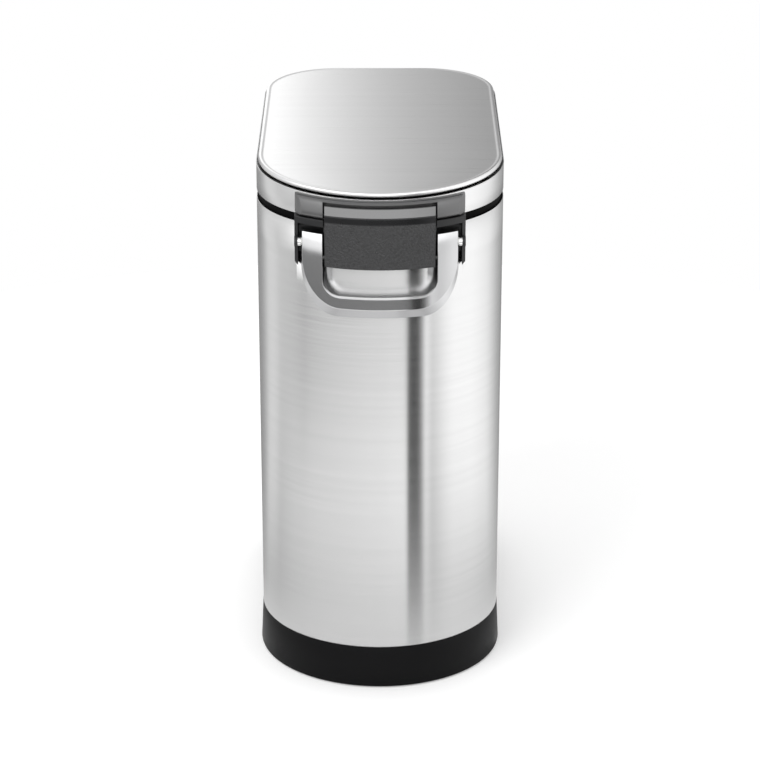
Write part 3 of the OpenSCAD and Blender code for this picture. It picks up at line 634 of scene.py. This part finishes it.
def bail_edge(half, low, corner_w, corner_h):
    """Half-width and height along one edge of the bail: straight arms, a quarter ellipse at each corner."""
    arm = np.linspace(bail_high.z, low + corner_h, 31)[:-1]
    turn = np.radians(np.linspace(0, 90, 25))
    grip = np.linspace(half - corner_w, 0, 13)[1:]
    x = np.concatenate((np.full(len(arm), half), half - corner_w * (1 - np.cos(turn)), grip))
    z = np.concatenate((arm, low + corner_h * (1 - np.sin(turn)), np.full(len(grip), low)))
    return np.concatenate((-x, x[-2::-1])), np.concatenate((z, z[-2::-1]))


gap_x = 0.0585
grip_top = 0.446
inside = bail_edge(gap_x, grip_top, 0.017, 0.017)
ridge = bail_edge(bail_half - 0.0012, bail_low.z + 0.0100, 0.0388, 0.0500)
outside = bail_edge(bail_half, bail_low.z, 0.0355, 0.0515)
between = [tuple(i * (1 - t) + r * t for i, r in zip(inside, ridge)) for t in (0.25, 0.5, 0.75)]

# Each station is an edge and how far it lies behind the bail's front. The grip bar is thinner than the
# arms, which hold the bushes.
thickness = np.interp(inside[1], (grip_top, grip_top + taper_h), (grip_t, arm_t))
stations = [(outside, thickness), (inside, thickness), (inside, 0)]
stations += [(edge, 0) for edge in between] + [(ridge, 0), (outside, bevel_depth)]
bail_grid = np.stack([on_front(e[0], bail_front_r - t, e[1]) for e, t in stations], axis=1)

# The arms' fronts bend back above bend_z, along an arc of radius bend_r, and end round about the pivot.
bend_z, bend_r, least_t = 0.489, 0.040, 0.0015
rise = np.maximum(bail_grid[:, 2:, 2] - bend_z, 0)
leaning = bail_grid[:, 2:, 1] + bend_r - np.sqrt(bend_r**2 - rise**2)
leaning = np.minimum(leaning, bail_grid[:, :1, 1] - least_t)
bail_grid[:, 2:, 1] = np.where(rise > 0, leaning, bail_grid[:, 2:, 1])
over = bail_grid[..., 2] > pivot_z
reach = np.sqrt(np.maximum(end_r**2 - (bail_grid[..., 2] - pivot_z) ** 2, 0))
bail_grid[..., 1] = np.where(over, np.maximum(bail_grid[..., 1], pivot_y - reach), bail_grid[..., 1])
bail = surface("bail", bail_grid, round_v=True, ends=True)


def satin_metal(name, grey, roughness):
    """Cast metal, tumbled to a satin: cloudy gloss and a fine all-over grain."""
    material, tree, shader, place = new_finish(name, (grey, grey, grey * 1.01), 1, roughness)
    fine = grain(tree, place, (2500,) * 3, 3)
    tree.links.new(spread(tree, fine, roughness - 0.05, roughness + 0.06), shader.inputs["Roughness"])
    bumped(tree, shader, fine, 0.000004)
    return material


satin = satin_metal("satin_aluminium", 0.64, 0.17)
dressed(eased(welded(bail, 14), 0.0005, 3, 14), satin, "handle", "bail_metal", "bail_handle")
nylon = moulded("bush_nylon", (0.75, 0.75, 0.73), 0.45, 0.0005, 0.00001)
refinished(nylon, "handle_bushes")

# ---- Latch plate ----
# A black cover plate between the handle's arms. Its face has a coarse sparkling texture, and above it
# follow a smooth upright band and a facet that leans back. Springs and a bent hook sit behind it.
latch_low, latch_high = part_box("latch_plate")
latch_half = latch_high.x
latch_r = front_r + 0.013
latch_top, latch_z = latch_high.z, latch_low.z
smooth_z = latch_top - 0.0162
latch_profile = np.array([
    (latch_r - 0.008, latch_z), (latch_r - 0.0008, latch_z), (latch_r, latch_z + 0.0008),
    (latch_r, smooth_z), (latch_r - 0.0006, smooth_z + 0.0004),
    (latch_r - 0.0005, latch_top - 0.0105), (latch_r - 0.0004, latch_top - 0.0098),
    (latch_r - 0.0010, latch_top - 0.0086), (latch_r - 0.0038, latch_top - 0.0014),
    (latch_r - 0.0043, latch_top - 0.0004), (latch_r - 0.0050, latch_top), (latch_r - 0.0065, latch_top),
    (latch_r - 0.0065, latch_top - 0.003), (latch_r - 0.0030, latch_top - 0.012),
    (latch_r - 0.0026, latch_z + 0.0026), (latch_r - 0.008, latch_z + 0.0026),
])
latch_x = np.broadcast_to(np.linspace(-latch_half, latch_half, 49)[:, None], (49, len(latch_profile)))
latch_grid = on_front(latch_x, latch_profile[:, 0], np.broadcast_to(latch_profile[:, 1], latch_x.shape))
latch_face = surface("latch_face", latch_grid, round_v=True, ends=True)


def sparkling(name, colour, size, depth):
    """Black plastic with a coarse spark-eroded skin, whose grains change its height, tone and gloss."""
    material, tree, shader, place = new_finish(name, colour, 0, 0.45)
    grains = grain(tree, place, (1 / size,) * 3, 2)
    bumped(tree, shader, grains, depth)
    dark, light = tuple(c * 0.3 for c in colour), tuple(c * 2.2 for c in colour)
    shaded(tree, shader, spread(tree, grains, 0, 1), dark, light)
    tree.links.new(spread(tree, grains, 0.38, 0.52), shader.inputs["Roughness"])
    shader.inputs["Specular IOR Level"].default_value = 0.4
    shader.inputs["IOR"].default_value = 1.7
    return material


latch_black = sparkling("latch_skin", (0.013, 0.013, 0.014), 0.0021, 0.0016)
dressed(eased(welded(latch_face, 9), 0.0003), latch_black, "latch", "latch_plastic", "latch_plate")

# The textured face ends at smooth_z. The dull band above it ends at facet_z, where the glossy facet starts.
texture_end, facet_z = smooth_z + 0.0001, latch_top - 0.0092
band_black = moulded("latch_band", (0.010, 0.010, 0.011), 0.30, 0.0009, 0.00001, 0.35)
facet_black = moulded("latch_facet", (0.013, 0.013, 0.014), 0.24, 0.0009, 0.00001, 1.0, 1.75)
latch_face.data.materials.append(band_black)
latch_face.data.materials.append(facet_black)
faces = latch_face.data.polygons
centres = np.empty(3 * len(faces), dtype=np.float32)
faces.foreach_get("center", centres)
faces.foreach_set("material_index", np.searchsorted((texture_end, facet_z), centres[2::3]).astype(np.int32))

# ---- Size ----
# The finished model's box, over every shown piece outside the studio.
low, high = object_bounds()
